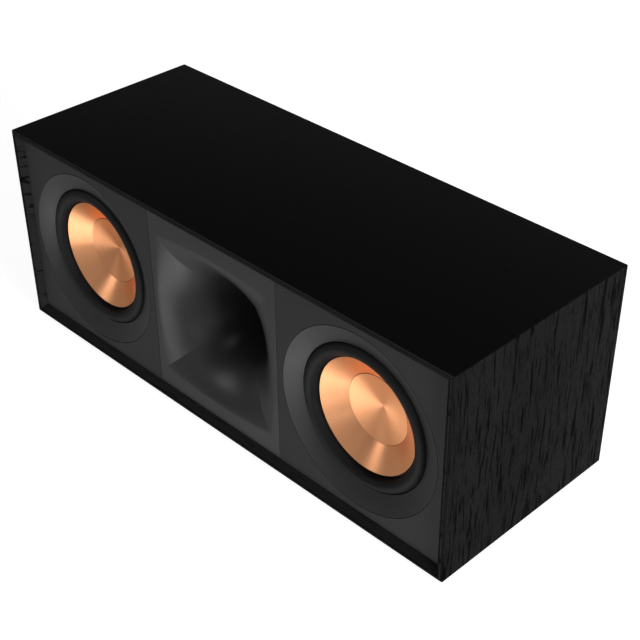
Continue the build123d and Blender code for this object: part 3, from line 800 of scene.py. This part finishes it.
def arc_through(start, crest, end, steps):
    """Points on the circle through three (radius, y) points."""
    (ax, ay), (bx, by), (cx, cy) = start, crest, end
    d = 2 * (ax * (by - cy) + bx * (cy - ay) + cx * (ay - by))
    ux = ((ax**2 + ay**2) * (by - cy) + (bx**2 + by**2) * (cy - ay) + (cx**2 + cy**2) * (ay - by)) / d
    uy = ((ax**2 + ay**2) * (cx - bx) + (bx**2 + by**2) * (ax - cx) + (cx**2 + cy**2) * (bx - ax)) / d
    radius = math.hypot(ax - ux, ay - uy)
    angles = [math.atan2(y - uy, x - ux) for x, y in (start, crest, end)]
    for i in (1, 2):
        while angles[i] - angles[i - 1] > math.pi:
            angles[i] -= 2 * math.pi
        while angles[i] - angles[i - 1] < -math.pi:
            angles[i] += 2 * math.pi
    first, last = angles[0], angles[2]
    return [
        (ux + radius * math.cos(first + (last - first) * k / steps),
         uy + radius * math.sin(first + (last - first) * k / steps))
        for k in range(steps + 1)
    ]


def ring_outline():
    """The conical dish of a trim ring, with a skirt down to its seat."""
    back = baffle_y + ring_slope + ring_edge
    skirt = ring_outer - ring_skirt
    points = [
        (ring_outer, baffle_y), (ring_inner, baffle_y + ring_slope), (ring_inner, back),
        (ring_inner + ring_edge, back), (skirt, baffle_y + 2 * ring_edge), (skirt, seat_y),
        (ring_outer, seat_y),
    ]
    return rounded(points, [seam_round, ring_round, 0, 0, 0, 0, 0])


def surround_outline():
    """A half roll of rubber between a flange behind the trim ring and a lip behind the cone's edge."""
    inner = baffle_y + cone_front + cone_sheet + glue_gap
    edge = cone_radius - cone_sheet
    middle = (roll_outer + roll_inner) / 2
    crest = baffle_y + roll_depth - roll_height
    start = (roll_outer, baffle_y + roll_depth)
    front = arc_through(start, (middle, crest), (roll_inner, inner), roll_steps)
    back = arc_through(
        (roll_inner + roll_sheet, inner + roll_sheet), (middle, crest + roll_sheet),
        (roll_outer - roll_sheet, baffle_y + flange_depth), roll_steps)
    return (
        [(surround_outer, baffle_y + roll_depth)] + front
        + [(edge, inner), (edge, inner + roll_sheet)] + back
        + [(surround_outer, baffle_y + flange_depth)]
    )


def cone_outline():
    """A cone whose face runs straight from its edge to the cap's joint."""
    top = baffle_y + cone_front
    collar = cone_face(neck_radius) + collar_length
    back = cone_back_ratio * cone_sheet
    points = [
        (cone_radius, top - cone_turn), (cap_radius, cone_face(cap_radius)),
        (neck_radius, cone_face(neck_radius)), (neck_radius, collar),
        (neck_radius + cone_sheet, collar),
        (neck_radius + cone_sheet, cone_face(neck_radius + cone_sheet) + back),
        (cap_radius, cone_face(cap_radius) + back), (cone_radius, top + cone_sheet),
    ]
    return rounded(points, [cone_round, 0, 0, 0, 0, 0, 0, cone_round])


def spider_outline(low, high):
    """A cupped cloth disc with round waves, further forward at the coil than at its rim."""
    rim = (high.z - low.z) / 2
    coil_y = low.y + spider_wave / 2
    rim_y = high.y - spider_sheet
    flat_in = former_outer + spider_flat
    flat_out = rim - spider_overlap
    front = [(former_outer + glue_gap, coil_y), (flat_in, coil_y)]
    steps = wave_steps * spider_waves
    for k in range(1, steps):
        share = k / steps
        wave = spider_wave * math.sin(2 * math.pi * spider_waves * share)
        front.append((flat_in + (flat_out - flat_in) * share, coil_y + (rim_y - coil_y) * share - wave))
    front += [(flat_out, rim_y), (rim, rim_y)]
    return front + [(r, y + spider_sheet) for r, y in reversed(front)]


def cap_outline():
    """A shallow cone that sinks towards its middle."""
    rim = cone_face(cap_radius) - glue_gap
    apex = rim + cap_depth
    return [
        (0, apex - cap_sheet), (cap_radius - cap_edge, rim - cap_sheet + cap_edge_drop),
        (cap_radius, rim - cap_sheet / 2), (cap_radius, rim), (0, apex),
    ]


for name, x, copper in (("left", -woofer_x, copper_left), ("right", woofer_x, finishes["copper_cone"])):
    moving = f"woofer_{name}"
    trim = lathe(f"trim_ring_{name}", ring_outline(), x, segments=wide_segments)
    stands_for(trim, "cabinet", finishes["trim_moulding"], f"woofer_trim_ring_{name}")
    stands_for(lathe(f"cone_{name}", cone_outline(), x), moving, copper, f"woofer_cone_{name}")
    stands_for(lathe(f"center_cap_{name}", cap_outline(), x), moving, copper, f"woofer_dust_cap_{name}")
    bends(
        lathe(f"surround_{name}", surround_outline(), x, sharp_angle=roll_edge),
        f"woofer_surround_{name}",
    )

    spider_low, spider_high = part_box(f"woofer_spider_{name}")
    cloth = spider_outline(spider_low, spider_high)
    bends(
        lathe(f"spider_{name}", cloth, x, segments=inner_segments, sharp_angle=cloth_edge),
        f"woofer_spider_{name}",
    )


# Tweeter suspension: a thin roll, clamped in front of the dome's rim
def film_outline(low, high):
    """A shallow roll between the dome's rim and the clamped edge."""
    outer = (high.z - low.z) / 2
    inner = dome_rim + glue_gap
    rim = high.y - film_sheet
    middle = ((outer + inner) / 2, rim - film_rise - film_cup / 2)
    front = arc_through((outer, rim - film_cup), middle, (inner, rim), film_steps)
    return front + [(r, y + film_sheet) for r, y in reversed(front)]


film_low, film_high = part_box("tweeter_suspension")
film = film_outline(film_low, film_high)
bends(
    lathe("tweeter_film", film, segments=inner_segments, sharp_angle=roll_edge),
    "tweeter_suspension",
)


# Port, terminal cup, its screws, and the knobs
def rounded_rect(half_x, half_z, corner, y):
    """Points round a rectangle with round corners, about the cabinet's axis."""
    points = []
    for quarter, (sx, sz) in enumerate(((1, 1), (-1, 1), (-1, -1), (1, -1))):
        for k in range(corner_steps + 1):
            angle = math.pi / 2 * (quarter + k / corner_steps)
            points.append((
                sx * (half_x - corner) + corner * math.cos(angle), y,
                center_z + sz * (half_z - corner) + corner * math.sin(angle)))
    return points


def quarter_turn():
    """Shares (across, up) of a quarter round, from its start to its end."""
    angles = [math.pi / 2 * k / turn_steps for k in range(turn_steps + 1)]
    return [(math.sin(a), 1 - math.cos(a)) for a in angles]


def port_outline():
    """A tube whose mouth flares to a flange in the rear panel."""
    flange_y = rear_y - rear_flange
    arc_end = rear_y - port_flare
    flare = [
        (port_bore + port_flare * (1 - math.cos(a)), arc_end + port_flare * math.sin(a))
        for a in (math.pi / 2 * k / flare_steps for k in range(flare_steps + 1))
    ]
    outer = port_bore + port_wall
    rim = rounded(
        [(port_rim - 2 * rim_round, rear_y), (port_rim, rear_y), (port_rim, flange_y)], [0, rim_round, 0])
    return [(port_bore, port_low.y)] + flare + rim + [
        (port_bore + port_neck, flange_y), (outer + port_wall / 2, arc_end + port_wall),
        (outer, arc_end - port_wall), (outer, port_low.y),
    ]


port_low, port_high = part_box("port_tube")
port_rim = (port_high.z - port_low.z) / 2
port = lathe("port", port_outline(), (port_low.x + port_high.x) / 2, (port_low.z + port_high.z) / 2)
stands_for(port, "cabinet", finishes["port_plastic"], "port_tube")

cup_low, cup_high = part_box("terminal_cup")
cup_x = (cup_high.x - cup_low.x) / 2
cup_z = (cup_high.z - cup_low.z) / 2
cup_floor = rear_y - cup_depth + cup_wall
inner_x = bowl_x - cup_wall
inner_z = bowl_z - cup_wall
inner_corner = bowl_corner - cup_wall
cup_rings = []
for across, rise in quarter_turn():
    shrink = bowl_round * (1 - across)
    cup_rings.append(rounded_rect(
        inner_x - shrink, inner_z - shrink, inner_corner - shrink, cup_floor + bowl_round * rise))
for across, rise in quarter_turn():
    grow = rim_round * rise
    cup_rings.append(rounded_rect(
        inner_x + grow, inner_z + grow, inner_corner + grow, rear_y - rim_round * (1 - across)))
for across, rise in quarter_turn():
    inset = rim_round * (1 - across)
    cup_rings.append(rounded_rect(
        cup_x - inset, cup_z - inset, cup_corner - inset, rear_y - rim_round * rise))
cup_rings.append(rounded_rect(cup_x, cup_z, cup_corner, rear_y - rear_flange))
cup_rings.append(rounded_rect(bowl_x, bowl_z, bowl_corner, rear_y - rear_flange))
cup_rings.append(rounded_rect(bowl_x, bowl_z, bowl_corner, rear_y - cup_depth))
cup = skin("terminal_cup_shell", cup_rings, capped=True)
screw_places = [
    (sx * (cup_x - cup_screw_inset), center_z + sz * (cup_z - cup_screw_inset))
    for sx in (-1, 1) for sz in (-1, 1)
]
sink = cup_screw_head + sink_gap
sink_hole = cup_screw_shank + sink_gap
sink_end_y = rear_y - 2 * rear_flange
for x, z in screw_places:
    cut(cup, lathe("sink", [
        (0, rear_y + rim_round), (sink + rim_round, rear_y + rim_round), (sink, rear_y),
        (sink_hole, rear_y - cup_screw_taper), (sink_hole, sink_end_y), (0, sink_end_y),
    ], x, z, segments=screw_segments))
stands_for(cup, "cabinet", finishes["cup_plastic"], "terminal_cup")


def cross_screw(name, x, z):
    """A countersunk screw with a cross recess in its head."""
    top = rear_y - sink_gap
    screw = lathe(name, [
        (0, top), (cup_screw_head - sink_gap, top), (cup_screw_head, top - sink_gap),
        (cup_screw_shank, top - cup_screw_taper), (cup_screw_shank, rear_y - cup_screw_length),
        (0, rear_y - cup_screw_length),
    ], x, z, segments=screw_segments)
    for wide, high in ((cross_reach, cross_width / 2), (cross_width / 2, cross_reach)):
        cut(screw, box_object(
            "recess", (x - wide, top - cross_depth, z - high), (x + wide, top + rim_round, z + high)))
    return screw


screw_verts = []
screw_faces = []
for x, z in screw_places:
    screw = cross_screw("screw", x, z)
    first = len(screw_verts)
    screw_verts += [v.co.copy() for v in screw.data.vertices]
    screw_faces += [tuple(first + i for i in face.vertices) for face in screw.data.polygons]
    bpy.data.objects.remove(screw)
screws = make_object("cup_screws", screw_verts, screw_faces)
stands_for(screws, "cabinet", finishes["screw_zinc"], "terminal_cup_screws")


def knob_ring(x, radius, y, flute=0.0):
    """A ring of points, with flutes cut in by a share from none to full."""
    points = []
    count = knob_flutes * knob_steps
    for k in range(count):
        off = radius * 2 * math.pi / knob_flutes * ((k % knob_steps) / knob_steps - 0.5)
        bite = math.sqrt(max(0.0, flute_radius ** 2 - off ** 2)) * flute
        angle = 2 * math.pi * (k / knob_steps - 0.5) / knob_flutes
        reach = radius - bite
        points.append((x + reach * math.cos(angle), y, center_z + reach * math.sin(angle)))
    return points


for name in ("black", "red"):
    low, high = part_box(f"post_knob_{name}")
    x = (low.x + high.x) / 2
    radius = (high.z - low.z) / 2
    rows = [knob_ring(x, insert_radius, low.y), knob_ring(x, radius - flute_radius, low.y)]
    rows += [
        knob_ring(x, radius - flute_radius * (1 - across), low.y + flute_radius * rise)
        for across, rise in quarter_turn()]
    for k in range(flute_steps + 1):
        share = k / flute_steps
        y = low.y + 2 * flute_radius * (1 + share)
        rows.append(knob_ring(x, radius, y, math.sin(math.pi / 2 * share)))
    rows += [
        knob_ring(x, radius - flute_radius * rise, high.y - flute_radius * (1 - across), 1 - rise)
        for across, rise in quarter_turn()]
    rows += [
        knob_ring(x, knob_hole + flute_radius * (1 - across), high.y - flute_radius * rise / 2)
        for across, rise in quarter_turn()]
    rows.append(knob_ring(x, knob_hole, low.y + insert_length))
    rows.append(knob_ring(x, insert_radius, low.y + insert_length))
    knob = skin(f"knob_{name}", rows, knob_edge)
    stands_for(knob, f"knob_{name}", finishes[f"knob_{name}"], f"post_knob_{name}")

# Studio: levels of floor, sky and plain light, where the sky fades, aims of the lamps, and camera clips
floor_half = 6.0
ambient = 0.15
floor_glow = 0.9
floor_shade = 0.42
floor_sheen = 0.45
floor_bounce = 0.3
sky_low = 0.75
sky_high = 0.1
sky_fade_from = 15.0
sky_fade_to = 32.0
sky_left = 0.5
sky_left_from = -0.95
sky_left_to = -0.3
lamp_aim = (0.0, 0.0, 0.09)
key_aim = (0.235, 0.1, 0.42)
key_spread = 60.0
near_clip = 0.01
far_clip = 100.0


def studio_floor():
    """A white light table: white to the camera with the object's shadow, and lit through from below."""
    paint = Paint("studio_floor", (floor_bounce, floor_bounce, floor_bounce), 0.9, specular=0.0)
    rays = paint.node("ShaderNodeLightPath")

    def glow(strength):
        made = paint.node("ShaderNodeEmission")
        made.inputs["Strength"].default_value = strength
        return made.outputs["Emission"]

    def both(first, second):
        made = paint.node("ShaderNodeAddShader")
        paint.link(first, made.inputs[0])
        paint.link(second, made.inputs[1])
        return made.outputs["Shader"]

    shade = paint.node("ShaderNodeBsdfDiffuse")
    shade.inputs["Color"].default_value = (floor_shade, floor_shade, floor_shade, 1.0)
    clear = paint.node("ShaderNodeBsdfTransparent")
    shiny = paint.math("MAXIMUM", rays.outputs["Is Glossy Ray"], rays.outputs["Is Transmission Ray"])
    shiny = paint.math("MAXIMUM", shiny, rays.outputs["Is Shadow Ray"])
    lit = paint.pick(shiny, paint.shader.outputs["BSDF"], both(glow(floor_sheen), clear.outputs["BSDF"]))
    shown = paint.pick(rays.outputs["Is Camera Ray"], lit, both(glow(floor_glow), shade.outputs["BSDF"]))
    paint.link(shown, paint.tree.nodes["Material Output"].inputs["Surface"])
    return paint.material


floor = make_object(
    "studio_floor",
    [(sx * floor_half, sy * floor_half, 0) for sx, sy in ((-1, -1), (1, -1), (1, 1), (-1, 1))],
    [(0, 1, 2, 3)],
)
paint_node(floor, studio_floor())


def studio_world():
    """White to the camera, grey as a light. Reflections see only the sky, dim overhead and to the left."""
    world = bpy.data.worlds.new("studio")
    bpy.context.scene.world = world
    world.use_nodes = True
    world.node_tree.nodes.clear()
    studio = Nodes(world.node_tree)

    def background(strength):
        made = studio.node("ShaderNodeBackground")
        made.inputs["Color"].default_value = (1.0, 1.0, 1.0, 1.0)
        if isinstance(strength, float):
            made.inputs["Strength"].default_value = strength
        else:
            studio.link(strength, made.inputs["Strength"])
        return made.outputs["Background"]

    def ranged(source, low, high, first, last, kind="LINEAR"):
        """Takes a value from between low and high to between first and last."""
        made = studio.node("ShaderNodeMapRange", interpolation_type=kind)
        for socket, value in (("From Min", low), ("From Max", high), ("To Min", first), ("To Max", last)):
            made.inputs[socket].default_value = value
        studio.link(source, made.inputs["Value"])
        return made.outputs["Result"]

    rays = studio.node("ShaderNodeLightPath")
    direction = studio.node("ShaderNodeTexCoord")
    parts = studio.node("ShaderNodeSeparateXYZ")
    studio.link(direction.outputs["Generated"], parts.inputs["Vector"])
    low = math.sin(math.radians(sky_fade_from))
    high = math.sin(math.radians(sky_fade_to))
    fade = ranged(parts.outputs["Z"], low, high, sky_low, sky_high, "SMOOTHSTEP")
    side = ranged(parts.outputs["X"], sky_left_from, sky_left_to, sky_left, 1.0)
    above = studio.math("GREATER_THAN", parts.outputs["Z"], 0.0)
    sky = background(studio.math("MULTIPLY", studio.math("MULTIPLY", fade, side), above))
    shiny = studio.math("MAXIMUM", rays.outputs["Is Glossy Ray"], rays.outputs["Is Transmission Ray"])
    lit = studio.pick(shiny, background(ambient), sky)
    shown = studio.pick(rays.outputs["Is Camera Ray"], lit, background(1.0))
    output = studio.node("ShaderNodeOutputWorld")
    studio.link(shown, output.inputs["Surface"])


studio_world()


def soft_box(name, place, size, watts, aim=lamp_aim):
    """A rectangular lamp at a place, turned to its aim."""
    data = bpy.data.lights.new(name, "AREA")
    data.shape = "RECTANGLE"
    data.size = size[0]
    data.size_y = size[1]
    data.energy = watts
    lamp = bpy.data.objects.new(name, data)
    lamp.location = place
    lamp.rotation_euler = (Vector(aim) - Vector(place)).to_track_quat("-Z", "Y").to_euler()
    bpy.context.scene.collection.objects.link(lamp)
    return lamp


# Lamps: a key and a back card that reflections miss, cards in front and above, and two below the table
key = soft_box("key_right", place=(1.93, -0.25, 0.4), size=(1.0, 1.0), watts=11.5, aim=key_aim)
key.data.spread = math.radians(key_spread)
key.visible_glossy = False
soft_box("card_front_right", place=(1.1, -1.7, 0.15), size=(0.35, 0.25), watts=1.0)
for lamp in (
    soft_box("card_front_left", place=(-1.2, -1.3, 1.0), size=(0.6, 0.4), watts=5.5),
    soft_box("card_top", place=(0.40, -0.64, 1.86), size=(0.4, 0.4), watts=3.0),
):
    lamp.visible_diffuse = False
soft_box("table_front", place=(-0.1, -3.0, -2.5), size=(2.9, 2.9), watts=76.0)
soft_box("table_left", place=(-2.4, -2.5, -2.9), size=(0.8, 0.8), watts=2.5)
back_card = soft_box("card_back", place=(-0.8, 2.2, 0.35), size=(0.8, 0.8), watts=14.0)
back_card.visible_glossy = False

camera_data = bpy.data.cameras.new("camera")
camera_data.sensor_width = sensor_width
camera_data.lens = focal_pixels / photo_width * sensor_width
camera_data.shift_x = (photo_width / 2 - principal_x) / photo_width
camera_data.shift_y = (principal_y - photo_width / 2) / photo_width
camera_data.clip_start = near_clip
camera_data.clip_end = far_clip
camera = bpy.data.objects.new("camera", camera_data)
turn = math.radians(camera_azimuth)
tilt = math.radians(camera_elevation)
back = Vector((math.sin(turn) * math.cos(tilt), -math.cos(turn) * math.cos(tilt), math.sin(tilt)))
right = Vector((math.cos(turn), math.sin(turn), 0.0))
up = back.cross(right)
camera.matrix_world = Matrix.Translation(camera_place) @ Matrix((right, up, back)).transposed().to_4x4()
bpy.context.scene.collection.objects.link(camera)
bpy.context.scene.camera = camera
bpy.context.scene.view_settings.view_transform = "Standard"
